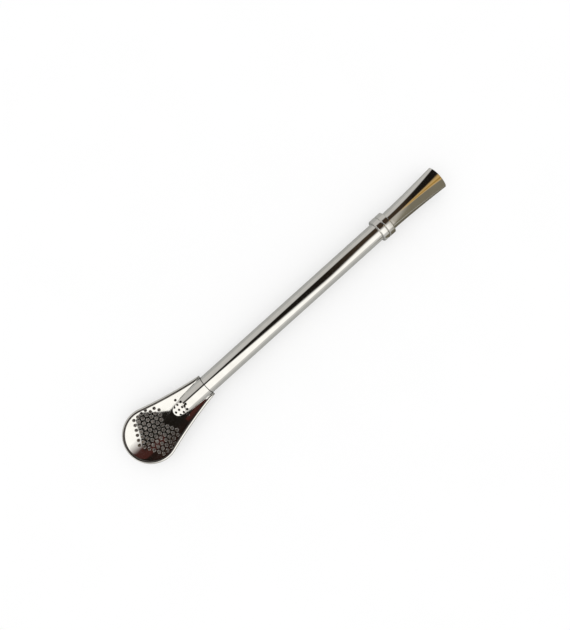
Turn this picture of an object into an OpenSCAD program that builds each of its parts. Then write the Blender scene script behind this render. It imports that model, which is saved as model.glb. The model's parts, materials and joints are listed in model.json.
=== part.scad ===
// Spoon bombilla: a metal drinking straw whose foot is a flat perforated spoon, for drinking mate.
// Millimetres. X runs along the stem to the mouthpiece, and Z points out of the strainer face.
// The origin is on the ground below the middle of the straw, which lies with its strainer up.

/* [Stem] */
// Outside diameter of the stem
stem_od = 8; // [7:0.1:9]
// Wall of the stem
stem_wall = 0.5; // [0.4:0.05:0.7]
// Length of stem that shows between the spoon and the rings
stem_len = 94.5; // [60:0.1:140]
// How far the wall is drawn in at each end, which leaves a shoulder
end_step = 0.17; // [0.16:0.01:0.25]

/* [Fits] */
// Radial clearance of the stem in the spoon's socket
push_fit = 0.03; // [0.02:0.01:0.08]
// Clearance between pieces that are brazed or folded together
braze_gap = 0.05; // [0.03:0.01:0.08]
// Clearance between the spoon's mouth and the stem's shoulder
seat_gap = 0.05; // [0.02:0.01:0.2]

/* [Rings] */
// Thickness of the two rings round the mouthpiece's socket
ring_wall = 0.74; // [0.65:0.01:1.5]
// Length of one ring along the stem
ring_len = 2.9; // [2.5:0.05:5]
// Groove left between the two rings
ring_gap = 0.1; // [0.05:0.05:0.5]
// Radius of each ring's outer corners
ring_round = 0.6; // [0.3:0.05:0.6]

/* [Mouthpiece] */
// Length of the mouthpiece beyond the rings
mouth_len = 28.3; // [20:0.1:45]
// Wall of the mouthpiece
mouth_wall = 0.5; // [0.4:0.05:0.7]
// Length of round tube before the mouthpiece flattens
root_len = 1; // [0.5:0.1:4]
// Width of the lip
lip_w = 10.3; // [9.5:0.1:13]
// Thickness of the lip
lip_t = 4; // [3:0.1:5]
// How far the middle of the lip stands out beyond its corners
lip_crown = 0.5; // [0:0.1:1.5]

/* [Spoon] */
// Length of the spoon from the mouth of its socket to its tip
spoon_len = 43; // [38:0.1:55]
// Width of the spoon
spoon_w = 23.8; // [20:0.1:28]
// Radius of the hollow sides of the neck
side_r = 190; // [120:1:400]
// Thickness of the sheet of both leaves
sheet = 0.4; // [0.35:0.05:0.5]
// Depth of the back of the spoon below the seam
belly_depth = 5.15; // [4:0.05:7]
// Depth of the hollow in the strainer face
dish_depth = 1.3; // [1.3:0.1:1.8]

/* [Channel] */
// Depth of the socket that takes the stem
socket_len = 5; // [3.5:0.1:7]
// Length of the raised channel from the mouth of the socket
channel_len = 18; // [14:0.1:20]
// Outside radius of the round end of the channel
channel_end_r = 2.1; // [1.6:0.05:2.6]

/* [Holes] */
// Diameter of the strainer holes
hole_d = 1.3; // [0.8:0.05:1.7]
// Pitch of the strainer holes along a row
hole_pitch = 2.13; // [2:0.01:2.3]
// Distance from the tip of the spoon to the first hole
hole_start = 5.4; // [5:0.1:6]
// Diameter of the small holes at the end of the channel
small_d = 1; // [0.6:0.05:1.2]
// Pitch of the small holes, along and across
small_pitch = 2; // [1.8:0.05:2.2]
// Distance from the end of the channel to the middle of the small holes
small_middle = 4.1; // [3.6:0.1:5]

/* [Hidden] */
$fn = 96;

// Stem, sockets and rings
stem_r = stem_od / 2;
bore_r = stem_r - stem_wall;
spigot_r = stem_r - end_step;
socket_r = spigot_r + push_fit;
tip_gap = 0.2;
spigot_len = socket_len - tip_gap;
sleeve_r = socket_r + mouth_wall;
ring_inner = sleeve_r + braze_gap;
ring_outer = ring_inner + ring_wall;

// Places along the stem, whose lower shoulder is at zero
mouth_x = -seat_gap;
rings_x = stem_len + braze_gap;
upper_ring_x = rings_x + ring_len + ring_gap;
rings_end = upper_ring_x + ring_len;
flare_x = rings_end + root_len;
lip_x = rings_end + mouth_len;
tip_x = mouth_x - spoon_len;
middle_x = (tip_x + lip_x) / 2;
axis_z = max(ring_outer, belly_depth);

// Hem: a fold of sheet round a slot that grips the strainer's rim
slot_h = sheet + 2 * braze_gap;
fold_r = slot_h / 2 + sheet;
fold_steps = 10;
hem_ease = 3;
hem_turn = acos(sheet / slot_h) - hem_ease;
hem_w = fold_r * (1 + sin(hem_turn));
root_thin = 0.6;
lip_thin = 0.5;
lip_clear = 0.17;
neck_w = 2 * (socket_r + sheet + lip_clear + fold_r);

// Outline of the spoon: a round end, and sides that are arcs tangent to it
tip_r = spoon_w / 2;
bowl_x = tip_x + tip_r;
neck_dx = mouth_x - bowl_x;
neck_span = norm([neck_dx, neck_w / 2]);
side_along = (pow(side_r + tip_r, 2) - pow(side_r, 2) + pow(neck_span, 2)) / (2 * neck_span);
side_across = sqrt(pow(side_r + tip_r, 2) - pow(side_along, 2));
side_x = bowl_x + (side_along * neck_dx - side_across * neck_w / 2) / neck_span;
side_y = (side_along * neck_w / 2 + side_across * neck_dx) / neck_span;
join_cos = (side_x - bowl_x) / (side_r + tip_r);
join_sin = side_y / (side_r + tip_r);
join_angle = atan2(join_sin, join_cos);
mouth_angle = acos((side_x - mouth_x) / side_r);
side_knit = 0.02;
side_steps = 6;
tip_steps = 36;

// Insets of the pressed forms from the outer edge of the hem
form_step = 0.1;
dish_margin = 0.44;
rim_inset = fold_r + form_step;
belly_inset = rim_inset + form_step;
dish_inset = hem_w + dish_margin;
clear = 1;
deep = belly_depth + clear;

// Channel
socket_end = mouth_x - socket_len;
channel_end_x = mouth_x - channel_len + channel_end_r;

// Facets of the mouthpiece's skin, and how early it starts to flatten
flare_sides = 48;
flare_steps = 14;
flare_lap = 0.2;
root_end = flare_x - flare_lap;
flare_ease = 1.55;
lip_power = 2.5;
outer_off = 0.004;
inner_off = mouth_wall - 0.012;

// Strainer holes: one count for each row out from the middle
row_pitch = hole_pitch * sqrt(3) / 2;
row_counts = [7, 7, 7, 7, 6, 4];
small_counts = [4, 3, 1];

// Half-width of the spoon at the mouth of its socket, inside an inset
function neck_half(inset) = side_y - sqrt(pow(side_r + inset, 2) - pow(side_x - mouth_x, 2));

// Slope of the channel's taper, with this much sheet round it
function taper(grow) =
    let (run = socket_end - channel_end_x, radius = socket_r + grow)
    atan2(radius, run) - asin((channel_end_r - sheet + grow) / norm([run, radius]));

// Radius of the channel's outside at a place along it
function channel_r(x) = socket_r + sheet - max(0, socket_end - x) * tan(taper(sheet));

// Faces that join rings of points, each with the same count, into a tube
function band_faces(rings, count) = [
    for (r = [0 : rings - 2], k = [0 : count - 1])
        let (a = r * count + k, b = r * count + (k + 1) % count)
        for (face = [[a, b, b + count], [a, b + count, a + count]])
            face
];

// Moves the straw's own axis to its place above the ground
module place() {
    translate([-middle_x, 0, axis_z]) children();
}

// Lays a revolved shape along X
module along_x() {
    rotate([0, 90, 0]) children();
}

// Everything above the seam of the spoon
module above_seam() {
    translate([tip_x, -spoon_w, 0]) cube([spoon_len + clear, 2 * spoon_w, spoon_w]);
}

// Flat outline of the spoon, inside an inset; the sides cut a hair into the round end, so that they cross it
module outline(inset) {
    join_y = (tip_r - inset) * join_sin;
    translate([bowl_x, 0]) circle(tip_r - inset);
    difference() {
        translate([bowl_x, -join_y]) square([mouth_x - bowl_x, 2 * join_y]);
        for (side = [-1, 1])
            translate([side_x, side * side_y]) circle(side_r + inset + side_knit);
    }
}

// Prism on the outline, between two heights
module prism(inset, low, high) {
    translate([0, 0, low]) linear_extrude(high - low) outline(inset);
}

// Solid of revolution that presses a hollow of this depth, whose rim at height zero is the outline
module hollow(inset, depth, grow) {
    half = tip_r - inset;
    ball_r = (half * half + depth * depth) / (2 * depth);
    rise = ball_r - depth;
    // joint of the ball and the neck, and the end of the neck, as [radius, x]
    out = [sqrt(pow(ball_r, 2) - pow(half * join_cos, 2)), half * join_cos] / ball_r;
    joint = [0, bowl_x] + ball_r * out;
    end = [norm([neck_half(inset), rise]), mouth_x];
    neck_r = -pow(norm(joint - end), 2) / (2 * (joint - end) * out);
    grown = joint + grow * out;
    translate([0, 0, rise]) along_x() rotate_extrude() {
        intersection() {
            translate([0, bowl_x]) circle(ball_r + grow);
            translate([0, bowl_x - ball_r - grow]) square([ball_r + grow, ball_r + grow + half * join_cos]);
        }
        difference() {
            translate([0, bowl_x + half * join_cos]) square([grown[0], mouth_x + clear - bowl_x - half * join_cos]);
            translate(joint + neck_r * out) circle(neck_r - grow, $fn = 360);
        }
    }
}

// Hollow of the strainer face
module dish(grow) {
    translate([0, 0, sheet]) hollow(dish_inset, dish_depth, grow);
}

// Hollow of the back
module belly(grow) {
    hollow(belly_inset, belly_depth, grow);
}

// Socket that tapers to a round end; grow is the sheet round it
module channel(grow) {
    radius = socket_r + grow;
    end_r = channel_end_r - sheet + grow;
    slope = taper(grow);
    along_x() rotate_extrude() {
        intersection() {
            translate([0, channel_end_x]) circle(end_r);
            translate([0, channel_end_x - end_r]) square([end_r, 2 * end_r]);
        }
        polygon([
            [0, channel_end_x - end_r * sin(slope)],
            [end_r * cos(slope), channel_end_x - end_r * sin(slope)],
            [radius, socket_end],
            [radius, mouth_x + grow],
            [0, mouth_x + grow]
        ]);
    }
}

// Edge of the spoon from its mouth round the tip and back, as [place, outward direction]
function side_edge(angle, side) =
    let (out = [cos(angle), side * sin(angle)])
    [[side_x, side * side_y] - side_r * out, out];
function tip_edge(angle) =
    let (out = [cos(angle), sin(angle)])
    [[bowl_x, 0] + tip_r * out, out];
function spoon_edge() = concat(
    [for (i = [0 : side_steps]) side_edge(mouth_angle + (join_angle - mouth_angle) * i / side_steps, 1)],
    [for (i = [1 : tip_steps]) tip_edge(join_angle + (360 - 2 * join_angle) * i / tip_steps)],
    [for (i = [1 : side_steps]) side_edge(join_angle + (mouth_angle - join_angle) * i / side_steps, -1)]
);

// Middle of the folded sheet, from inside the rim to the free lip: [inward, height, half thickness, tilt]
function fold_line(curl) =
    let (middle_r = (slot_h + sheet) / 2)
    concat(
        [[fold_r + sheet, -sheet / 2, root_thin * sheet / 2, -90]],
        [
            for (i = [0 : fold_steps])
                let (turn = -90 - (180 + curl) * i / fold_steps, share = i == fold_steps ? lip_thin : 1)
                [fold_r + middle_r * cos(turn), sheet / 2 + middle_r * sin(turn), share * sheet / 2, turn]
        ]
    );

// How far the hem curls past its top at one place on the edge, where the channel may leave it little room
function hem_curl(place) =
    let (room = abs(place[1]) - channel_r(place[0]) - lip_clear - fold_r)
    place[0] < channel_end_x ? hem_turn : min(hem_turn, asin(max(0, min(1, room / fold_r))));

// Closed section of the hem at one place on the spoon's edge
function hem_ring(edge) =
    let (line = fold_line(hem_curl(edge[0])))
    let (upper = [for (s = line) [s[0], s[1]] + s[2] * [cos(s[3]), sin(s[3])]])
    let (lower = [for (s = line) [s[0], s[1]] - s[2] * [cos(s[3]), sin(s[3])]])
    let (flat = concat(upper, [for (i = [len(lower) - 1 : -1 : 0]) lower[i]]))
    [for (q = flat) [edge[0][0] - q[0] * edge[1][0], edge[0][1] - q[0] * edge[1][1], q[1]]];

// Hem swept round the edge of the spoon
module hem() {
    edge = spoon_edge();
    count = 2 * len(fold_line(hem_turn));
    half = count / 2;
    points = [for (e = edge) each hem_ring(e)];
    last = (len(edge) - 1) * count;
    strip = [for (k = [0 : half - 2]) [k, k + 1, count - 2 - k, count - 1 - k]];
    caps = [
        for (q = strip)
            each [
                [q[0], q[2], q[1]], [q[0], q[3], q[2]],
                [last + q[0], last + q[1], last + q[2]], [last + q[0], last + q[2], last + q[3]]
            ]
    ];
    polyhedron(points, concat(band_faces(len(edge), count), caps));
}

// Places of the strainer holes
module hole_field() {
    for (row = [1 - len(row_counts) : len(row_counts) - 1], i = [0 : row_counts[abs(row)] - 1])
        translate([tip_x + hole_start + hole_pitch * (i + abs(row) / 2), row * row_pitch, 0]) children();
}

// Places of the small holes round the end of the channel
module small_field() {
    cluster_x = mouth_x - channel_len + small_middle;
    for (row = [1 - len(small_counts) : len(small_counts) - 1], i = [0 : small_counts[abs(row)] - 1])
        translate([cluster_x + small_pitch * (i - (small_counts[abs(row)] - 1) / 2), row * small_pitch, 0])
            children();
}

// Rounded bar bent into a ring, starting at height zero
module ring() {
    along_x() rotate_extrude() intersection() {
        translate([ring_inner, 0]) square([ring_wall, ring_len]);
        union() {
            square([ring_outer - ring_round, ring_len]);
            translate([0, ring_round]) square([ring_outer, ring_len - 2 * ring_round]);
            for (corner = [ring_round, ring_len - ring_round])
                translate([ring_outer - ring_round, corner]) circle(ring_round);
        }
    }
}

// Ring of the mouthpiece's skin: place along, share of the flattening done, and thickness taken off
function flare_ring(x, flat, off) =
    let (half_w = stem_r + (lip_w / 2 - stem_r) * flat - off)
    let (half_t = stem_r + (lip_t / 2 - stem_r) * flat - off)
    let (power = 2 / (2 + (lip_power - 2) * flat))
    [
        for (k = [0 : flare_sides - 1])
            let (c = cos(360 * k / flare_sides), s = -sin(360 * k / flare_sides))
            let (y = sign(c) * pow(abs(c), power), z = sign(s) * pow(abs(s), power))
            [x - lip_crown * flat * y * y, half_w * y, half_t * z]
    ];

// One skin of the mouthpiece, which starts inside the round root
function flare_skin(off) = concat(
    flare_ring(root_end - 2 * flare_lap, 0, off),
    [
        for (step = [0 : flare_steps])
            let (share = step / flare_steps)
            each flare_ring(flare_x + (lip_x - flare_x) * share, pow(share, flare_ease), off)
    ]
);

// Tube that flattens from round to the lip, as one skin outside and one inside
module flare() {
    rings = flare_steps + 2;
    inner = rings * flare_sides;
    walls = band_faces(rings, flare_sides);
    inner_walls = [for (f = walls) [f[0] + inner, f[2] + inner, f[1] + inner]];
    last = inner - flare_sides;
    ends = [
        for (k = [0 : flare_sides - 1])
            let (n = (k + 1) % flare_sides)
            each [
                [k, inner + k, inner + n], [k, inner + n, n],
                [last + k, inner + last + n, inner + last + k], [last + k, last + n, inner + last + n]
            ]
    ];
    skins = concat(flare_skin(outer_off), flare_skin(inner_off));
    polyhedron(skins, concat(walls, inner_walls, ends));
}

module stem_tube() {
    color("silver") place() along_x() rotate_extrude() polygon([
        [bore_r, -spigot_len],
        [spigot_r, -spigot_len],
        [spigot_r, 0],
        [stem_r, 0],
        [stem_r, stem_len],
        [spigot_r, stem_len],
        [spigot_r, stem_len + spigot_len],
        [bore_r, stem_len + spigot_len]
    ]);
}

module mouthpiece() {
    seat_x = stem_len + spigot_len + braze_gap;
    color("lightsteelblue") place() {
        along_x() rotate_extrude() polygon([
            [socket_r, rings_x],
            [sleeve_r, rings_x],
            [sleeve_r, rings_end],
            [stem_r, rings_end],
            [stem_r, root_end],
            [stem_r - mouth_wall, root_end],
            [stem_r - mouth_wall, seat_x],
            [socket_r, seat_x]
        ]);
        flare();
    }
}

module lower_ring() {
    color("gainsboro") place() translate([rings_x, 0, 0]) ring();
}

module upper_ring() {
    color("gainsboro") place() translate([upper_ring_x, 0, 0]) ring();
}

module strainer_leaf() {
    color("whitesmoke") place() difference() {
        union() {
            difference() {
                union() {
                    prism(fold_r, 0, sheet);
                    intersection() {
                        dish(sheet);
                        prism(fold_r, -deep, sheet);
                    }
                }
                dish(0);
            }
            intersection() {
                channel(sheet);
                translate([0, 0, -deep]) linear_extrude(spoon_w) outline(0);
                union() {
                    above_seam();
                    dish(sheet);
                }
            }
        }
        channel(0);
        hole_field() translate([0, 0, -deep]) cylinder(h = 2 * deep, d = hole_d, $fn = 32);
        small_field() translate([0, 0, -deep]) cylinder(h = 2 * deep, d = small_d, $fn = 32);
    }
}

module back_leaf() {
    color("lightgray") place() {
        difference() {
            union() {
                prism(rim_inset, -sheet, 0);
                intersection() {
                    union() {
                        belly(0);
                        channel(sheet);
                    }
                    prism(0, -deep, 0);
                }
            }
            belly(-sheet);
            channel(0);
            dish(sheet + braze_gap);
        }
        hem();
    }
}

stem_tube();
mouthpiece();
lower_ring();
upper_ring();
strainer_leaf();
back_leaf();
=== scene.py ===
import json
import math

import bpy
import numpy as np
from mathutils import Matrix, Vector
from mathutils.geometry import delaunay_2d_cdt

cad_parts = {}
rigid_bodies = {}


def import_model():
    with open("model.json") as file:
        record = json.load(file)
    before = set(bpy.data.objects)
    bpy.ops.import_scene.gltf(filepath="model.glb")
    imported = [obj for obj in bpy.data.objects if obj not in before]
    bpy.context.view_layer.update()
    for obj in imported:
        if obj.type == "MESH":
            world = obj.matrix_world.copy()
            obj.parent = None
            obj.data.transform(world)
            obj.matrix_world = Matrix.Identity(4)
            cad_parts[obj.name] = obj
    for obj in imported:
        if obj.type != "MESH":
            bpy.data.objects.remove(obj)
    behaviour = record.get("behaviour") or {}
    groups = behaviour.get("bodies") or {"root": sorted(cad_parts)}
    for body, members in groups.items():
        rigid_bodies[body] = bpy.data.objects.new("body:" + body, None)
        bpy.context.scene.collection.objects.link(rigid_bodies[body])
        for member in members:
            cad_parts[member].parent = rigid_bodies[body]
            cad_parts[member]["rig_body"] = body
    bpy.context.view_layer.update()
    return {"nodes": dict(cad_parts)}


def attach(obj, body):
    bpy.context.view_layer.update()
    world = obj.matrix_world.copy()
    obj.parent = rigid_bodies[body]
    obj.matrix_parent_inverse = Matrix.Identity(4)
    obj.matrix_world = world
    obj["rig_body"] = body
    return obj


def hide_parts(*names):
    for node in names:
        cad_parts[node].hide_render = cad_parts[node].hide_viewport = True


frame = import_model()

# Stem and its drawn-in ends, in millimetres. X runs along the stem from its lower shoulder.
MM = 0.001
STEM_R = 4.0
STEM_WALL = 0.5
STEM_LEN = 94.5
END_STEP = 0.17
PUSH_FIT = 0.03
SEAM = 0.05
SOCKET_LEN = 5.0
TIP_GAP = 0.2
BORE_R = STEM_R - STEM_WALL
SPIGOT_R = STEM_R - END_STEP
SPIGOT_LEN = SOCKET_LEN - TIP_GAP
SOCKET_R = SPIGOT_R + PUSH_FIT

# Rings and mouthpiece
RING_WALL = 0.74
RING_LEN = 2.9
RING_GAP = 0.1
MOUTH_LEN = 28.3
MOUTH_WALL = 0.5
ROOT_LEN = 1.0
LIP_W = 10.3
LIP_T = 4.0
LIP_CROWN = 0.5
LIP_POWER = 2.5
FLARE_EASE = 1.55
SLEEVE_R = SOCKET_R + MOUTH_WALL
RING_INNER = SLEEVE_R + SEAM
RING_OUTER = RING_INNER + RING_WALL
RINGS_X = STEM_LEN + SEAM
UPPER_RING_X = RINGS_X + RING_LEN + RING_GAP
RINGS_END = UPPER_RING_X + RING_LEN
FLARE_X = RINGS_END + ROOT_LEN
LIP_X = RINGS_END + MOUTH_LEN
SOCKET_STOP = STEM_LEN + SPIGOT_LEN + SEAM

# Spoon, its two leaves and its channel
SPOON_LEN = 43.0
TIP_R = 11.9
SIDE_R = 190.0
SHEET = 0.4
BELLY_DEPTH = 5.15
DISH_DEPTH = 1.3
CHANNEL_LEN = 18.0
CHANNEL_END_R = 2.1
LIP_CLEAR = 0.17
FORM_STEP = 0.1
HEM_EASE = math.radians(3)
MOUTH_X = -SEAM
TIP_X = MOUTH_X - SPOON_LEN
BOWL_X = TIP_X + TIP_R
CHANNEL_R = SOCKET_R + SHEET
CHANNEL_END_X = MOUTH_X - CHANNEL_LEN + CHANNEL_END_R
SLOT_H = SHEET + 2 * SEAM
FOLD_R = SLOT_H / 2 + SHEET
HEM_TURN = math.acos(SHEET / SLOT_H) - HEM_EASE
HEM_W = FOLD_R * (1 + math.sin(HEM_TURN))
RIM_INSET = FOLD_R + FORM_STEP
BELLY_INSET = RIM_INSET + FORM_STEP

# Strainer holes; the rows are counted from the middle one outwards
HOLE_R = 0.65
HOLE_PITCH = 2.13
HOLE_START = 5.4
HOLE_ROWS = (7, 7, 7, 7, 6, 4)
ROW_PITCH = HOLE_PITCH * math.sqrt(3) / 2
ROW_SHIFT = 0.5
SMALL_R = 0.5
SMALL_PITCH = 2.0
SMALL_MIDDLE = 4.1
SMALL_ROWS = (4, 3, 1)

# Forms that the solids don't have, or have a little differently
# CREVICE: the length of spigot beside the stem's shoulder that carries painted shade, a dark line in the
# joint's gap
CREVICE = 0.4
JOINT_GAP = 0.2
JOINT_X = MOUTH_X - JOINT_GAP
RING_ROUND = 0.35
DISH_MARGIN = 0.1
DISH_INSET = HEM_W + DISH_MARGIN
HEM_WIDEN = 1.4
CHANNEL_WALL = 9.0
NOSE_X = -11.9
NOSE_HALF = 3.05
NOSE_SLOPE = 0.66
SHOULDER_X = -2.5
SHOULDER_HALF = 3.8
HOLE_ROLL = 0.1
STEM_EASE = 0.04
ROOT_EASE = 0.05

# Widths over which pressed forms run into each other
NOSE_EASE = 0.4
DISH_EASE = 0.15
CHANNEL_EASE = 0.5
BELLY_EASE = 0.3
BACK_EASE = 0.8

# Section of the hem: its root's share of the sheet, the thinning of its lip, and its polished strips; the
# strips after them carry painted shade in its crevice
HEM_ROOT = 0.3
HEM_TAPER = 0.35
HEM_THIN = 0.97
HEM_STEPS = 30
HEM_POLISHED = 24

# Fineness of the turned pieces and of the spoon's edge
TURN_STEPS = 128
CORNER_STEPS = 6
CORNER_SHARE = 0.45
ROOT_STEPS = 4
RING_STEPS = 12
FLARE_STEPS = 60
LIP_STEPS = 12
HEM_EDGE_STEPS = (40, 120)
LEAF_EDGE_STEPS = (60, 110)

# Fineness of the leaves; lines at the channel's foot are in millimetres, and those up its wall in degrees
HOLE_STEPS = 24
ROLL_SHARES = (0, 0.06, 0.22, 0.5, 1)
ROLL_LEAST = 1e-4
FOOT_LINES = (0.6, 0.4, 0.2, 0.08)
WALL_LINES = (0, 5, 11, 18, 26, 36, 48, 62, 76)
LINE_STEP = 0.5
END_STEPS = 15
CREST_STEP = 0.6
GRID_STEP = 0.5
HOLE_MARGIN = 0.05
LINE_MARGIN = 0.05
GRID_MARGIN = 0.25
GRID_CLEAR = 0.3
SLOPE_STEP = 0.01
KNIT = 1e-6
TINY = 1e-12

# Place of the straw's axis in the shared frame
MIDDLE_X = (TIP_X + LIP_X) / 2
AXIS_Z = max(RING_OUTER, BELLY_DEPTH)

# Outline of the spoon: a round end and two hollow sides tangent to it
NECK_HALF = SOCKET_R + SHEET + LIP_CLEAR + FOLD_R
NECK_DX = MOUTH_X - BOWL_X
NECK_SPAN = math.hypot(NECK_DX, NECK_HALF)
SIDE_ALONG = ((SIDE_R + TIP_R) ** 2 - SIDE_R ** 2 + NECK_SPAN ** 2) / (2 * NECK_SPAN)
SIDE_ACROSS = math.sqrt((SIDE_R + TIP_R) ** 2 - SIDE_ALONG ** 2)
SIDE_X = BOWL_X + (SIDE_ALONG * NECK_DX - SIDE_ACROSS * NECK_HALF) / NECK_SPAN
SIDE_Y = (SIDE_ALONG * NECK_HALF + SIDE_ACROSS * NECK_DX) / NECK_SPAN
JOIN = math.atan2(SIDE_Y, SIDE_X - BOWL_X)
MOUTH_ANGLE = math.acos((SIDE_X - MOUTH_X) / SIDE_R)

# Steel: two tones and two roughnesses, and how fine its clouds and its wear are
POLISHED = ((0.80, 0.79, 0.77, 1), (0.86, 0.855, 0.84, 1))
POLISHED_ROUGH = (0.03, 0.075)
# Near-black steel: painted shade for the crevices at the stem's shoulder and along the hem
PAINTED_SHADE_TONES = ((0.10, 0.09, 0.085, 1), (0.16, 0.15, 0.145, 1))
INNER = ((0.50, 0.46, 0.44, 1), (0.62, 0.58, 0.56, 1))
DULL_ROUGH = (0.3, 0.45)
CLOUD_SCALE = 260
WEAR_SCALE = 420
NOISE_DETAIL = 4
NOISE_RANGE = (0.3, 0.7)

# Floor: half its width in metres, its tones, the painted shade that it shows in the metal, and its white
# share for the camera
FLOOR_HALF = 3.0
PAPER = ((0.955, 0.955, 0.955, 1), (0.97, 0.97, 0.97, 1))
PAPER_SCALE = 30
PAPER_SHADE_IN_METAL = (0.45, 0.45, 0.43, 1)
PALER = 0.5

# Colours of the studio
GREY_LEFT = (0.58, 0.565, 0.535, 1)
GREY_RIGHT = (0.60, 0.59, 0.56, 1)
WHITE = (1.18, 1.16, 1.10, 1)
BLACK = (0.010, 0.008, 0.006, 1)
BROWN = (0.045, 0.030, 0.018, 1)
MAROON = (0.060, 0.018, 0.014, 1)
BEIGE = (0.48, 0.45, 0.39, 1)
GOLD = (0.58, 0.37, 0.13, 1)
DEEP_GOLD = (0.34, 0.20, 0.045, 1)
OLIVE = (0.20, 0.18, 0.13, 1)
DARK_OLIVE = (0.12, 0.11, 0.08, 1)
EVEN_LIGHT = (1.04, 1.04, 1.04, 1)
BACKDROP = (1, 1, 1, 1)

# Slanting sides in the studio: from and to in degrees one way, and what they reach the other way
WEDGE_LEFT = (-10, 8, -32, -46)
WEDGE_RIGHT = (-10, 5.5, -16, 25)
WEDGE_CLOSE = (6.5, 11, 25, 7)
WEDGE_SOFT = (-10, 0, 0.25, 1)
OLIVE_BEGIN = (15, 75, 17, 12.8)
OLIVE_FULL = (15, 75, 25, 14.8)

# Soft edges in the studio, in degrees: where a colour begins and where it is full
LEFT_EDGE = (-5, 4)
RIGHT_EDGE = (18, -10)
GREY_ACROSS = (58, 74)
BROWN_FROM = (4, 12)
BROWN_TO = (26, 19)
BEIGE_FROM = (12.8, 14.8)
BEIGE_ACROSS = (-6, 6)
OLIVE_ACROSS = (6, 14)
GOLD_FROM = (19, 25)
GOLD_LEFT = (-7, 1)
GOLD_RIGHT = (14, 7)
DEEP_FROM = (22, 27)
DEEP_LEFT = (1, 3)
DEEP_RIGHT = (7, 5)
LOW_GREY_FROM = (-24, -34)
LOW_GREY_TO = (-68, -62)
LOW_WHITE_FROM = (-62, -68)
LOW_WHITE_ACROSS = (-55, -40)

# Camera: height and place over the straw in millimetres, the picture's height in pixels, clipping in metres
VIEW_HIGH = 235.0
VIEW_X = 0.42
VIEW_Y = -0.17
VIEW_TURN = math.radians(42.0)
PICTURE_H = 630
PIXELS_PER_MM = 2.41875
SENSOR = 36
CLIP = (0.01, 20)


def half_width(x, inset):
    """Half of the spoon's width at x, inside an inset."""
    tip = np.sqrt(np.maximum((TIP_R - inset) ** 2 - (x - BOWL_X) ** 2, 0))
    side = SIDE_Y - np.sqrt((SIDE_R + inset) ** 2 - (x - SIDE_X) ** 2)
    return np.where(x < BOWL_X + (TIP_R - inset) * math.cos(JOIN), tip, side)


def spoon_edge(side_steps, tip_steps):
    """Places on the spoon's edge from its mouth round the tip and back, and their outward directions."""
    side = np.linspace(MOUTH_ANGLE, JOIN, side_steps + 1)
    tip = np.linspace(JOIN, 2 * math.pi - JOIN, tip_steps + 1)[1:-1]
    side_out = np.stack([np.cos(side), np.sin(side)], 1)
    tip_out = np.stack([np.cos(tip), np.sin(tip)], 1)
    upper = np.array([SIDE_X, SIDE_Y]) - SIDE_R * side_out
    round_end = np.array([BOWL_X, 0]) + TIP_R * tip_out
    flip = np.array([1, -1])
    places = np.concatenate([upper, round_end, upper[::-1] * flip])
    outs = np.concatenate([side_out, tip_out, side_out[::-1] * flip])
    return places, outs


def smooth_max(a, b, width):
    """The larger of two heights, eased over a width where they cross."""
    h = np.clip(0.5 + 0.5 * (a - b) / width, 0, 1)
    return b + (a - b) * h + width * h * (1 - h)


def hollow(x, y, inset, depth):
    """Height of a pressed hollow below its rim: a ball, and a neck that runs out to the mouth."""
    half = TIP_R - inset
    ball_r = (half ** 2 + depth ** 2) / (2 * depth)
    rise = ball_r - depth
    join_x = half * math.cos(JOIN)
    out = np.array([math.sqrt(ball_r ** 2 - join_x ** 2), join_x]) / ball_r
    joint = np.array([0, BOWL_X]) + ball_r * out
    neck_half = SIDE_Y - math.sqrt((SIDE_R + inset) ** 2 - (SIDE_X - MOUTH_X) ** 2)
    span = joint - np.array([math.hypot(neck_half, rise), MOUTH_X])
    neck_r = -(span @ span) / (2 * span @ out)
    centre = joint + neck_r * out
    ball = np.sqrt(np.maximum(ball_r ** 2 - (x - BOWL_X) ** 2, 0))
    neck = centre[0] - np.sqrt(np.maximum(neck_r ** 2 - (x - centre[1]) ** 2, 0))
    radius = np.where(x < joint[1], ball, neck)
    return rise - np.sqrt(np.maximum(radius ** 2 - y ** 2, 0))


def channel_half(x):
    """Half-width of the channel at x: it narrows slowly from the mouth to the nose, then faster."""
    places = [CHANNEL_END_X, NOSE_X, SHOULDER_X, SHOULDER_X / 2]
    return np.interp(x, places, [CHANNEL_END_R, NOSE_HALF, SHOULDER_HALF, CHANNEL_R])


def channel(x, y):
    """Height of the channel over the seam: a level half tube that narrows and ends in a sloping nose."""
    beyond = x < CHANNEL_END_X
    reach = np.where(beyond, np.hypot(x - CHANNEL_END_X, y), np.abs(y))
    half = np.where(beyond, CHANNEL_END_R, channel_half(x))
    tube = np.sqrt(np.maximum(CHANNEL_R ** 2 - y ** 2, 0))
    nose = CHANNEL_R + (x - NOSE_X) * NOSE_SLOPE
    return -smooth_max(-tube, -nose, NOSE_EASE) - CHANNEL_WALL * np.maximum(reach - half, 0)


def strainer_height(x, y):
    """Top of the strainer leaf: a flat rim, the dish and the raised channel."""
    dish = SHEET + hollow(x, y, DISH_INSET, DISH_DEPTH)
    pressed = -smooth_max(-dish, np.full_like(dish, -SHEET), DISH_EASE)
    return smooth_max(pressed, channel(x, y), CHANNEL_EASE)


def back_height(x, y):
    """Outside of the back leaf: a flat rim, the bowl and the other half of the channel."""
    bowl = smooth_max(-hollow(x, y, BELLY_INSET, BELLY_DEPTH), np.full_like(x, SHEET), BELLY_EASE)
    return -smooth_max(bowl, channel(x, y), BACK_EASE)


def hole_rows(rows, pitch_x, pitch_y, start, shift):
    """Middles of a field of holes; start says where a row of so many holes begins."""
    return [
        (start(rows[abs(row)]) + pitch_x * (i + shift * abs(row)), row * pitch_y)
        for row in range(1 - len(rows), len(rows))
        for i in range(rows[abs(row)])
    ]


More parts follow.
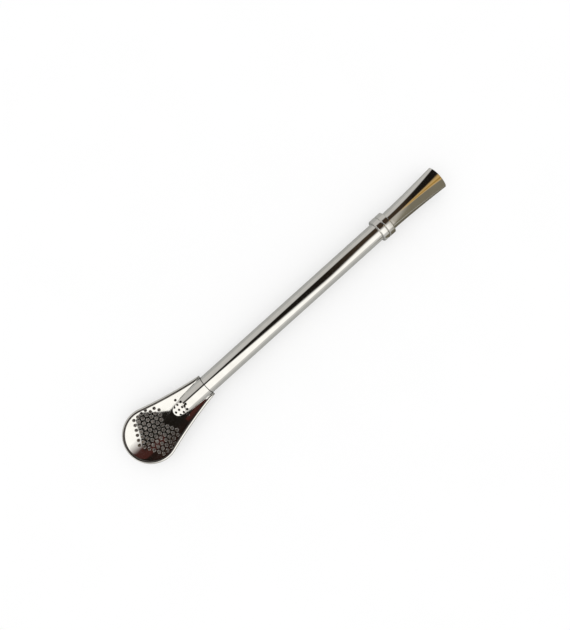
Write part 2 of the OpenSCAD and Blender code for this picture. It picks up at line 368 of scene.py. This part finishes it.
def strainer_holes():
    """Middle and radius of every hole."""
    cluster = MOUTH_X - CHANNEL_LEN + SMALL_MIDDLE

    def small_start(count):
        return cluster - SMALL_PITCH * (count - 1) / 2

    wide = hole_rows(HOLE_ROWS, HOLE_PITCH, ROW_PITCH, lambda count: TIP_X + HOLE_START, ROW_SHIFT)
    small = hole_rows(SMALL_ROWS, SMALL_PITCH, SMALL_PITCH, small_start, 0)
    return [(x, y, HOLE_R) for x, y in wide] + [(x, y, SMALL_R) for x, y in small]


def placed(points):
    """Points of the straw's own axis, in the shared frame, in metres."""
    return (np.asarray(points, float) + np.array([-MIDDLE_X, 0, AXIS_Z])) * MM


def add_object(name, data):
    """A new object in the scene."""
    thing = bpy.data.objects.new(name, data)
    bpy.context.scene.collection.objects.link(thing)
    return thing


def add_piece(name, points, normals, faces, node, material, inside=None, inside_from=0):
    """A smooth piece with its own normals that stands for a node; its last faces may take a second
    material: the leaf's inside, or painted shade in the crevices of the stem and hem.
    """
    mesh = bpy.data.meshes.new(name)
    mesh.from_pydata(placed(points).tolist(), [], faces)
    mesh.shade_smooth()
    mesh.normals_split_custom_set_from_vertices(np.asarray(normals).tolist())
    mesh.materials.append(material)
    if inside:
        mesh.materials.append(inside)
        for polygon in mesh.polygons[inside_from:]:
            polygon.material_index = 1
    piece = add_object(name, mesh)
    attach(piece, frame["nodes"][node]["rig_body"])
    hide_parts(node)


def unit(vectors):
    """Vectors of length one."""
    return vectors / np.maximum(np.linalg.norm(vectors, axis=-1, keepdims=True), TINY)


def add_grid(name, grid, node, material, inside=None, inside_from=0):
    """A closed skin of rings, the last of which joins the first; its last rings may take a second material,
    such as the painted shade in the stem's crevice.
    """
    rings, count = grid.shape[:2]
    along = np.roll(grid, -1, 0) - np.roll(grid, 1, 0)
    round_it = np.roll(grid, -1, 1) - np.roll(grid, 1, 1)
    normals = unit(np.cross(along, round_it)).reshape(-1, 3)
    faces = [
        (a * count + b, (a + 1) % rings * count + b, (a + 1) % rings * count + c, a * count + c)
        for a in range(rings)
        for b in range(count)
        for c in [(b + 1) % count]
    ]
    add_piece(name, grid.reshape(-1, 3), normals, faces, node, material, inside, inside_from * count)


def eased(corners, radius, steps):
    """A closed section with every corner rounded."""
    points = []
    for i, corner in enumerate(corners):
        before = corners[i - 1] - corner
        after = corners[(i + 1) % len(corners)] - corner
        start = corner + before * min(radius / np.linalg.norm(before), CORNER_SHARE)
        end = corner + after * min(radius / np.linalg.norm(after), CORNER_SHARE)
        for t in np.linspace(0, 1, steps):
            points.append((1 - t) ** 2 * start + 2 * t * (1 - t) * corner + t ** 2 * end)
    return np.array(points)


def lathe(section):
    """A section of [x, radius] turned round the stem's axis."""
    turn = np.linspace(0, 2 * math.pi, TURN_STEPS, endpoint=False)
    x = np.repeat(section[:, :1], TURN_STEPS, 1)
    return np.stack([x, section[:, 1:] * np.cos(turn), -section[:, 1:] * np.sin(turn)], 2)


def stem(material, inside):
    """The tube with its drawn-in ends; the shoulder and the crevice where the spoon meets it carry painted
    shade in near-black steel.
    """
    upper_end = STEM_LEN + SPIGOT_LEN
    section = np.array([
        [0, STEM_R], [STEM_LEN, STEM_R], [STEM_LEN, SPIGOT_R], [upper_end, SPIGOT_R], [upper_end, BORE_R],
        [-SPIGOT_LEN, BORE_R], [-SPIGOT_LEN, SPIGOT_R], [-CREVICE, SPIGOT_R], [0, SPIGOT_R],
    ])
    skin = lathe(eased(section, STEM_EASE, CORNER_STEPS))
    # Rings from here on, the spigot's crevice and the shoulder, carry painted shade.
    crevice_from = (len(section) - 1) * CORNER_STEPS - 1
    add_grid("polished_stem", skin, "stem_tube", material, inside, crevice_from)


def ring(name, start, node, material):
    """A bead with rounded outer edges."""
    corner = np.linspace(0, math.pi / 2, RING_STEPS)
    arc_r = RING_OUTER - RING_ROUND
    rise_x = start + RING_ROUND - RING_ROUND * np.cos(corner)
    rise = np.stack([rise_x, arc_r + RING_ROUND * np.sin(corner)], 1)
    fall = np.stack([2 * start + RING_LEN - rise[::-1, 0], rise[::-1, 1]], 1)
    foot = np.array([[start + RING_LEN, RING_INNER], [start, RING_INNER]])
    add_grid(name, lathe(np.concatenate([rise, fall, foot])), node, material)


def mouth_ring(x, flat, off):
    """Ring of the mouthpiece's skin: place along, share of the flattening done, and thickness taken off."""
    turn = np.linspace(0, 2 * math.pi, TURN_STEPS, endpoint=False)
    power = 2 / (2 + (LIP_POWER - 2) * flat)
    y = np.sign(np.cos(turn)) * np.abs(np.cos(turn)) ** power
    z = -np.sign(np.sin(turn)) * np.abs(np.sin(turn)) ** power
    half_w = STEM_R + (LIP_W / 2 - STEM_R) * flat - off
    half_t = STEM_R + (LIP_T / 2 - STEM_R) * flat - off
    return np.stack([x - LIP_CROWN * flat * y * y, half_w * y, half_t * z], 1)


def mouth_root():
    """Outside and inside of the mouthpiece's round root, as [x, radius], without its end in the flare."""
    outside = [[RINGS_X, SOCKET_R], [RINGS_X, SLEEVE_R], [RINGS_END, SLEEVE_R], [RINGS_END, STEM_R]]
    flare_end = [[FLARE_X, STEM_R], [FLARE_X, BORE_R]]
    inside = [[SOCKET_STOP, BORE_R], [SOCKET_STOP, SOCKET_R]]
    root = eased(np.array(outside + flare_end + inside), ROOT_EASE, ROOT_STEPS)
    return root[:len(outside) * ROOT_STEPS], root[-len(inside) * ROOT_STEPS:]


def mouthpiece(material):
    """The round root, the tube that flattens to the lip, its rounded end, and the same again inside."""
    outside, inside = mouth_root()
    wall = MOUTH_WALL / 2
    lip_start = LIP_X - wall
    places = np.linspace(FLARE_X, lip_start, FLARE_STEPS)
    flats = ((places - FLARE_X) / (lip_start - FLARE_X)) ** FLARE_EASE
    skin = [mouth_ring(x, 0, STEM_R - r) for x, r in outside]
    skin += [mouth_ring(x, flat, 0) for x, flat in zip(places, flats)]
    for bend in np.linspace(0, math.pi, LIP_STEPS)[1:-1]:
        skin.append(mouth_ring(lip_start + wall * math.sin(bend), 1, wall - wall * math.cos(bend)))
    skin += [mouth_ring(x, flat, MOUTH_WALL) for x, flat in zip(places[::-1], flats[::-1])]
    skin += [mouth_ring(x, 0, STEM_R - r) for x, r in inside]
    add_grid("polished_mouthpiece", np.array(skin), "mouthpiece", material)


def fold_section(curl):
    """Closed section of the hem, as [inward, height]; curl is how far it turns past its top."""
    middle_r = (SLOT_H + SHEET) / 2
    start = -math.pi / 2
    end = -1.5 * math.pi - curl
    line = [(FOLD_R + SHEET, -SHEET / 2, HEM_ROOT * SHEET, start)]
    for turn in np.linspace(start, end, HEM_STEPS):
        near_end = max(1 - (turn - end) / HEM_TAPER, 0)
        thick = SHEET / 2 * math.sqrt(1 - HEM_THIN * near_end ** 2)
        inward = FOLD_R + middle_r * math.cos(turn)
        line.append((inward, SHEET / 2 + middle_r * math.sin(turn), thick, turn))
    upper = [(q + h * math.cos(t), z + h * math.sin(t)) for q, z, h, t in line]
    lower = [(q - h * math.cos(t), z - h * math.sin(t)) for q, z, h, t in line]
    return np.array(upper + lower[::-1])


def hem_grid():
    """Sections of the hem along the spoon's edge; beside the channel there is less room for its turn."""
    places, outs = spoon_edge(*HEM_EDGE_STEPS)
    room = np.abs(places[:, 1]) - channel_half(places[:, 0]) - LIP_CLEAR - FOLD_R
    curls = np.minimum(np.arcsin(np.clip(room / FOLD_R, 0, 1)), HEM_TURN)
    widths = 1 + (HEM_WIDEN - 1) * np.clip(room, 0, 1)
    bowl = places[:, 0] < CHANNEL_END_X
    curls[bowl] = HEM_TURN
    widths[bowl] = HEM_WIDEN
    rings = []
    for place, out, curl, width in zip(places, outs, curls, widths):
        section = fold_section(curl)
        rings.append(np.column_stack([place - width * section[:, :1] * out, section[:, 1]]))
    return np.array(rings)


def hem(material, inside):
    """The edge of the back leaf, folded over the strainer's rim; the side in its crevice carries painted
    shade in near-black steel.
    """
    grid = hem_grid()
    strips = len(grid) - 1
    count = grid.shape[1]
    along = np.gradient(grid, axis=0)
    round_it = np.roll(grid, -1, 1) - np.roll(grid, 1, 1)
    normals = unit(np.cross(round_it, along)).reshape(-1, 3)
    faces = [
        (a * count + b, a * count + c, (a + 1) * count + c, (a + 1) * count + b)
        for b in range(count)
        for c in [(b + 1) % count]
        for a in range(strips)
    ]
    for k in range(count // 2 - 1):
        quad = (k, k + 1, count - 2 - k, count - 1 - k)
        faces.append(quad[::-1])
        faces.append(tuple(strips * count + q for q in quad))
    points = grid.reshape(-1, 3)
    # The strips past the polished ones, round the lip's end in the crevice, carry painted shade.
    add_piece("polished_hem", points, normals, faces, "back_leaf", material, inside, HEM_POLISHED * strips)


def channel_lines():
    """Lines that follow the channel from its mouth round its end and back, nested from foot to crest."""
    along = np.arange(JOINT_X, CHANNEL_END_X, -LINE_STEP)
    turns = np.linspace(math.pi / 2, 1.5 * math.pi, END_STEPS)
    sizes = [(1, grow) for grow in FOOT_LINES]
    sizes += [(math.cos(lift), 0) for lift in np.radians(WALL_LINES)]
    lines = []
    for share, grow in sizes:
        side = np.stack([along, channel_half(along) * share + grow], 1)
        end_r = CHANNEL_END_R * share + grow
        end = np.stack([CHANNEL_END_X + end_r * np.cos(turns), end_r * np.sin(turns)], 1)
        lines.append(np.concatenate([side, end, side[::-1] * np.array([1, -1])]))
    return lines


def channel_crest():
    """Places along the top of the channel."""
    along = np.arange(MOUTH_X - CREST_STEP, CHANNEL_END_X, -CREST_STEP)
    return np.stack([along, np.zeros_like(along)], 1)


def hole_circles(holes):
    """Circles round every hole, from its edge to the end of its roll."""
    turn = np.linspace(0, 2 * math.pi, HOLE_STEPS, endpoint=False)
    circle = np.stack([np.cos(turn), np.sin(turn)], 1)
    return [
        np.array([x, y]) + (radius + HOLE_ROLL * share) * circle
        for x, y, radius in holes
        for share in ROLL_SHARES
    ]


def clear_of_holes(spots, holes):
    """Which places lie outside every hole and its roll."""
    middles = np.array([hole[:2] for hole in holes]).reshape(-1, 2)
    guards = np.array([radius + HOLE_ROLL + HOLE_MARGIN for x, y, radius in holes])
    return (np.linalg.norm(spots[:, None] - middles[None], axis=2) > guards).all(1)


def inside_edge(spots, inset, margin=0.0):
    """Which places lie more than a margin inside a leaf's edge."""
    return np.abs(spots[:, 1]) < half_width(spots[:, 0], inset) - margin


def leaf_grid(inset, holes, lines):
    """An even grid over a leaf, away from its edge, its holes, its channel and the channel's lines."""
    rows = np.arange(-TIP_R, TIP_R, GRID_STEP * math.sqrt(3) / 2)
    columns = np.arange(TIP_X, MOUTH_X - GRID_STEP, GRID_STEP)
    grid = np.array([(x + GRID_STEP / 2 * (i % 2), y) for i, y in enumerate(rows) for x in columns])
    grid = grid[inside_edge(grid, inset, GRID_MARGIN)]
    grid = grid[clear_of_holes(grid, holes)]
    near = np.array([np.min(np.hypot(lines[:, 0] - x, lines[:, 1] - y)) for x, y in grid])
    on_channel = (grid[:, 0] > CHANNEL_END_X) & (np.abs(grid[:, 1]) < channel_half(grid[:, 0]))
    return grid[(near > GRID_CLEAR) & ~on_channel]


class Layout:
    """Flat points of a leaf, and the sides that its triangles have to keep."""

    def __init__(self):
        self.points = np.empty((0, 2))
        self.sides = []

    def add(self, points, sides=()):
        """Adds points; their sides count from the first of them."""
        start = len(self.points)
        self.points = np.concatenate([self.points, points])
        self.sides += [(start + int(a), start + int(b)) for a, b in sides]

    def add_ring(self, points):
        """Adds points that sides join in a closed ring."""
        self.add(points, [(i, (i + 1) % len(points)) for i in range(len(points))])

    def add_line(self, line, keep):
        """Adds some points of a line, with the sides between neighbours that are both kept."""
        number = np.cumsum(keep) - 1
        joined = keep[:-1] & keep[1:]
        self.add(line[keep], zip(number[:-1][joined], number[1:][joined]))

    def triangles(self):
        """Places and triangles that fill the layout."""
        found = delaunay_2d_cdt([Vector(point) for point in self.points], self.sides, [], 0, KNIT, False)
        return np.array([(spot.x, spot.y) for spot in found[0]]), np.array(found[2])


def leaf_layout(inset, holes):
    """Flat triangles of a leaf, with its edge, its holes and the channel's lines as their sides."""
    places, outs = spoon_edge(*LEAF_EDGE_STEPS)
    edge = places - inset * outs
    edge[[0, -1], 0] = JOINT_X
    layout = Layout()
    layout.add_ring(edge)
    for circle in hole_circles(holes):
        layout.add_ring(circle)
    lines = []
    for line in channel_lines():
        keep = clear_of_holes(line, holes) & inside_edge(line, inset, LINE_MARGIN)
        layout.add_line(line, keep)
        lines.append(line[keep])
    layout.add(leaf_grid(inset, holes, np.concatenate(lines)))
    crest = channel_crest()
    layout.add(crest[clear_of_holes(crest, holes)])
    spots, faces = layout.triangles()
    middle = spots[faces].mean(1)
    keep = inside_edge(middle, inset) & (middle[:, 0] < JOINT_X)
    for x, y, radius in holes:
        keep &= np.hypot(middle[:, 0] - x, middle[:, 1] - y) > radius * math.cos(math.pi / HOLE_STEPS)
    used, number = np.unique(faces[keep], return_inverse=True)
    return spots[used], number.reshape(-1, 3)


def slopes(height, spots):
    """Slopes of a height along x and along y."""
    x, y = spots.T
    along = (height(x + SLOPE_STEP, y) - height(x - SLOPE_STEP, y)) / (2 * SLOPE_STEP)
    across = (height(x, y + SLOPE_STEP) - height(x, y - SLOPE_STEP)) / (2 * SLOPE_STEP)
    return np.stack([along, across], 1)


def rolled(spots, holes):
    """How far each place is drawn down by the rolled edge of a hole, and the slope that this adds."""
    drop = np.zeros(len(spots))
    slope = np.zeros((len(spots), 2))
    for x, y, radius in holes:
        away = spots - np.array([x, y])
        reach = np.linalg.norm(away, axis=1)
        near = reach < radius + HOLE_ROLL
        left = np.clip(radius + HOLE_ROLL - reach[near], 0, HOLE_ROLL)
        depth = np.sqrt(np.maximum(HOLE_ROLL ** 2 - left ** 2, ROLL_LEAST * HOLE_ROLL ** 2))
        drop[near] = HOLE_ROLL - depth
        slope[near] = away[near] / reach[near, None] * (left / depth)[:, None]
    return drop, slope


def open_sides(faces):
    """Sides that only one triangle has."""
    sides = np.concatenate([faces[:, [0, 1]], faces[:, [1, 2]], faces[:, [2, 0]]]).tolist()
    pairs = {(a, b) for a, b in sides}
    return [(a, b) for a, b in sides if (b, a) not in pairs]


def leaf(name, inset, height, holes, above, node, material, inside):
    """A sheet with both of its faces; above says on which side of the given height the sheet lies."""
    spots, faces = leaf_layout(inset, holes)
    count = len(spots)
    tilt = slopes(height, spots)
    level = height(*spots.T)
    drop, slope = rolled(spots, holes)
    plain = unit(np.column_stack([-tilt, np.ones(count)]))
    shaped = unit(np.column_stack([-tilt - slope, np.ones(count)]))
    shown = np.column_stack([spots, level - drop])
    other = np.column_stack([spots, level + (SHEET if above else -SHEET)])
    top, low = (other, shown) if above else (shown, other)
    points = [top, low]
    normals = [plain, -shaped] if above else [shaped, -plain]
    top_faces = faces.tolist()
    low_faces = (faces[:, ::-1] + count).tolist()
    polygons = low_faces + top_faces if above else top_faces + low_faces
    for i, (a, b) in enumerate(open_sides(faces)):
        run = spots[b] - spots[a]
        out = np.array([run[1], -run[0], 0])
        points.append(np.array([top[a], low[a], low[b], top[b]]))
        normals.append(np.repeat(unit(out)[None], 4, 0))
        start = 2 * count + 4 * i
        polygons.append([start, start + 1, start + 2, start + 3])
    points = np.concatenate(points)
    normals = np.concatenate(normals)
    add_piece(name, points, normals, polygons, node, material, inside, len(faces))


class Graph:
    """The nodes of a material or a world, with short ways to add and link them."""

    MIX_BELOW = 6
    MIX_ABOVE = 7
    MIX_RESULT = 2

    def __init__(self, tree):
        self.nodes = tree.nodes
        self.links = tree.links

    def put(self, socket, value):
        """Links a socket to another one, or sets its value."""
        if hasattr(value, "is_output"):
            self.links.new(value, socket)
        else:
            socket.default_value = value

    def coords(self, kind):
        """Coordinates of one kind."""
        return self.nodes.new("ShaderNodeTexCoord").outputs[kind]

    def ray(self, kind):
        """Whether a ray is of one kind."""
        return self.nodes.new("ShaderNodeLightPath").outputs[kind]

    def parts(self, vector):
        """The X, Y and Z of a vector."""
        node = self.nodes.new("ShaderNodeSeparateXYZ")
        self.put(node.inputs[0], vector)
        return node.outputs

    def math(self, operation, a, b=0.0):
        """The result of a sum."""
        node = self.nodes.new("ShaderNodeMath")
        node.operation = operation
        self.put(node.inputs[0], a)
        self.put(node.inputs[1], b)
        return node.outputs[0]

    def line(self, value, start, end, low=0.0, high=1.0, kind="LINEAR"):
        """Goes from low to high while a value goes from start to end."""
        node = self.nodes.new("ShaderNodeMapRange")
        node.interpolation_type = kind
        sockets = ("Value", "From Min", "From Max", "To Min", "To Max")
        for socket, given in zip(sockets, (value, start, end, low, high)):
            self.put(node.inputs[socket], given)
        return node.outputs["Result"]

    def within(self, *edges):
        """Where some soft edges are all passed; each is a value, where it begins and where it is full."""
        masks = [self.line(value, *edge, kind="SMOOTHSTEP") for value, edge in edges]
        result = masks[0]
        for mask in masks[1:]:
            result = self.math("MULTIPLY", result, mask)
        return result

    def over(self, below, above, mask):
        """One colour over another where the mask says so."""
        node = self.nodes.new("ShaderNodeMix")
        node.data_type = "RGBA"
        self.put(node.inputs["Factor"], mask)
        self.put(node.inputs[self.MIX_BELOW], below)
        self.put(node.inputs[self.MIX_ABOVE], above)
        return node.outputs[self.MIX_RESULT]

    def tones(self, share, first, second):
        """A colour that goes from one tone to another."""
        node = self.nodes.new("ShaderNodeValToRGB")
        node.color_ramp.elements[0].color = first
        node.color_ramp.elements[1].color = second
        self.put(node.inputs["Fac"], share)
        return node.outputs["Color"]

    def noise(self, scale, low=0.0, high=1.0):
        """A soft noise on the object, spread between two values."""
        texture = self.nodes.new("ShaderNodeTexNoise")
        texture.inputs["Scale"].default_value = scale
        texture.inputs["Detail"].default_value = NOISE_DETAIL
        self.put(texture.inputs["Vector"], self.coords("Object"))
        return self.line(texture.outputs["Fac"], *NOISE_RANGE, low, high)


def new_material(name):
    """A material and its nodes."""
    material = bpy.data.materials.new(name)
    material.use_nodes = True
    return material, Graph(material.node_tree)


def steel(name, tones, roughness):
    """Stainless steel with faint clouding, between two tones and two roughnesses."""
    material, graph = new_material(name)
    shader = graph.nodes["Principled BSDF"]
    shader.inputs["Metallic"].default_value = 1
    graph.put(shader.inputs["Base Color"], graph.tones(graph.noise(CLOUD_SCALE), *tones))
    graph.put(shader.inputs["Roughness"], graph.noise(WEAR_SCALE, *roughness))
    return material


def floor_material():
    """Pale paper: painted shade makes it greyer where the metal mirrors it, and the camera sees its shadow
    paler.
    """
    material, graph = new_material("pale_paper")
    shader = graph.nodes["Principled BSDF"]
    shader.inputs["Specular IOR Level"].default_value = 0
    shader.inputs["Roughness"].default_value = 1
    paper = graph.tones(graph.noise(PAPER_SCALE), *PAPER)
    # The metal mirrors the paper in a grey of painted shade.
    graph.put(shader.inputs["Base Color"], graph.over(paper, PAPER_SHADE_IN_METAL, graph.ray("Is Glossy Ray")))
    white = graph.nodes.new("ShaderNodeEmission")
    paler = graph.nodes.new("ShaderNodeMixShader")
    graph.put(paler.inputs["Fac"], graph.math("MULTIPLY", graph.ray("Is Camera Ray"), PALER))
    graph.put(paler.inputs[1], shader.outputs["BSDF"])
    graph.put(paler.inputs[2], white.outputs["Emission"])
    graph.put(graph.nodes["Material Output"].inputs["Surface"], paler.outputs["Shader"])
    return material


def card_material(name, across, tones):
    """A glow that goes from one tone to another across the straw."""
    material, graph = new_material(name)
    graph.nodes.remove(graph.nodes["Principled BSDF"])
    place = graph.parts(graph.coords("Object"))
    share = graph.line(place["Y"], across[0] * MM, across[1] * MM)
    glow = graph.nodes.new("ShaderNodeEmission")
    graph.put(glow.inputs["Color"], graph.tones(share, *tones))
    graph.put(graph.nodes["Material Output"].inputs["Surface"], glow.outputs["Emission"])
    return material


def add_sheet(name, corners, material):
    """A flat sheet with corners in metres."""
    mesh = bpy.data.meshes.new(name)
    mesh.from_pydata(corners, [], [tuple(range(len(corners)))])
    mesh.materials.append(material)
    return add_object(name, mesh)


def floor():
    """A wide sheet of paper under the straw."""
    half = FLOOR_HALF
    corners = [(-half, -half, 0), (half, -half, 0), (half, half, 0), (-half, half, 0)]
    plane = add_sheet("floor", corners, floor_material())


def card(name, high, corners, across, tones):
    """A card that only the metal sees, at a height over the straw's axis, shaded across the straw."""
    corners = placed([(x, y, high) for x, y in corners]).tolist()
    plane = add_sheet(name, corners, card_material(name, across, tones))
    plane.visible_camera = False
    plane.visible_diffuse = False
    plane.visible_shadow = False
    plane.visible_transmission = False


def spoon_cards():
    """A dark card high over the spoon; low over its tip and left side a pale one, with a black one in the
    notch of its edge; and a narrow one beside the channel."""
    dark = [
        (-46, 75), (-45, 15), (-44, 5), (-50, -5), (-50, -20), (-52, -33), (-59, -38), (-77, -40),
        (-225, -46), (-225, 75),
    ]
    notch = [
        (-35, -2), (-38.4, -1.4), (-38.1, -0.4), (-37.4, 0.9), (-36.8, 2.4), (-36.4, 3.3), (-35.6, 3.6),
        (-33.1, 3.0),
    ]
    side = [(-28.4, 1.8), (-24.2, 0.9), (-17, 1.2), (-17, 9)]
    tip = [(-45, 9), (-45, -2.6), (-38, -2.4)]
    neck = [(-4.6, -3.6), (-4.6, -4.3), (-10, -5.9), (-16, -8.0), (-17, -4.0), (-10.5, -3.2)]
    card("dark_card", high=120.0, corners=dark, across=(15, 110), tones=(BLACK, MAROON))
    card("pale_card", high=15.0, corners=notch + side + tip, across=(-0.7, 1.1), tones=(MAROON, WHITE))
    card("black_card", high=15.0, corners=notch, across=(-1.6, -0.8), tones=(MAROON, BLACK))
    card("neck_card", high=3.0, corners=neck, across=(-6.5, -4.5), tones=(BLACK, MAROON))


def mouthpiece_card():
    """An olive card low beside the mouthpiece."""
    olive = [(98, -7), (98, -70), (190, -90), (190, -4)]
    card("olive_card", high=-4.5, corners=olive, across=(-40, -6), tones=(OLIVE, DARK_OLIVE))


def directions(graph):
    """Where a ray goes: degrees along, to the mouthpiece, and degrees across, to the straw's right."""
    way = graph.parts(graph.coords("Generated"))
    right = graph.math("MULTIPLY", way["Y"], -1)
    along = graph.math("MULTIPLY", graph.math("ARCSINE", way["X"]), math.degrees(1))
    across = graph.math("MULTIPLY", graph.math("ARCTAN2", right, way["Z"]), math.degrees(1))
    return along, across


def stem_paint(graph, along, across):
    """Grey on the left, white, grey on the right, and the dark wedge over the stem."""
    left = graph.line(along, *WEDGE_LEFT)
    right = graph.math("MINIMUM", graph.line(along, *WEDGE_RIGHT), graph.line(along, *WEDGE_CLOSE))
    soft = graph.line(along, *WEDGE_SOFT)
    paint = graph.over(GREY_LEFT, WHITE, graph.within((across, (left, right))))
    paint = graph.over(paint, GREY_RIGHT, graph.within((across, GREY_ACROSS)))
    shade = graph.over(BLACK, BROWN, graph.within((along, BROWN_FROM), (along, BROWN_TO)))
    left_edge = [graph.math("ADD", left, degrees) for degrees in LEFT_EDGE]
    right_edge = [graph.math("ADD", right, graph.math("MULTIPLY", soft, degrees)) for degrees in RIGHT_EDGE]
    return graph.over(paint, shade, graph.within((across, left_edge), (across, right_edge)))


def studio_paint(graph):
    """Soft cards round the straw, as the metal sees them: over the stem, the mouthpiece and the spoon."""
    along, across = directions(graph)
    paint = stem_paint(graph, along, across)
    paint = graph.over(paint, BEIGE, graph.within((along, BEIGE_FROM), (across, BEIGE_ACROSS)))
    olive_from = graph.line(across, *OLIVE_BEGIN), graph.line(across, *OLIVE_FULL)
    paint = graph.over(paint, OLIVE, graph.within((along, olive_from), (across, OLIVE_ACROSS)))
    gold = graph.within((along, GOLD_FROM), (across, GOLD_LEFT), (across, GOLD_RIGHT))
    paint = graph.over(paint, GOLD, gold)
    deep_gold = graph.within((along, DEEP_FROM), (across, DEEP_LEFT), (across, DEEP_RIGHT))
    paint = graph.over(paint, DEEP_GOLD, deep_gold)
    paint = graph.over(paint, GREY_LEFT, graph.within((along, LOW_GREY_FROM), (along, LOW_GREY_TO)))
    return graph.over(paint, WHITE, graph.within((along, LOW_WHITE_FROM), (across, LOW_WHITE_ACROSS)))


def studio():
    """The soft cards for the metal, even light for the floor, and a white backdrop."""
    world = bpy.data.worlds.new("studio")
    bpy.context.scene.world = world
    world.use_nodes = True
    graph = Graph(world.node_tree)
    even = graph.over(EVEN_LIGHT, studio_paint(graph), graph.ray("Is Glossy Ray"))
    seen = graph.over(even, BACKDROP, graph.ray("Is Camera Ray"))
    graph.put(graph.nodes["Background"].inputs["Color"], seen)


def camera():
    """Straight above the straw, turned so that the stem runs to the upper right."""
    data = bpy.data.cameras.new("camera")
    data.sensor_width = SENSOR
    data.lens = SENSOR * VIEW_HIGH / (PICTURE_H / PIXELS_PER_MM)
    data.clip_start, data.clip_end = CLIP
    view = add_object("camera", data)
    view.location = (VIEW_X * MM, VIEW_Y * MM, (AXIS_Z + VIEW_HIGH) * MM)
    view.rotation_euler = (0, 0, -VIEW_TURN)
    bpy.context.scene.camera = view


def build():
    """Every piece of the straw, then its stage and the camera."""
    metal = steel("polished_steel", POLISHED, POLISHED_ROUGH)
    # Painted shade for the crevices at the stem's shoulder and under the hem's lip
    painted_shade = steel("painted_shade_steel", PAINTED_SHADE_TONES, DULL_ROUGH)
    inner = steel("inner_steel", INNER, DULL_ROUGH)
    holes = strainer_holes()
    stem(metal, painted_shade)
    mouthpiece(metal)
    ring("polished_lower_ring", RINGS_X, "lower_ring", metal)
    ring("polished_upper_ring", UPPER_RING_X, "upper_ring", metal)
    leaf("polished_strainer", FOLD_R, strainer_height, holes, False, "strainer_leaf", metal, inner)
    leaf("polished_back", RIM_INSET, back_height, [], True, "back_leaf", metal, inner)
    hem(metal, painted_shade)
    floor()
    spoon_cards()
    mouthpiece_card()
    studio()
    camera()
    bpy.context.scene.view_settings.view_transform = "Standard"


build()
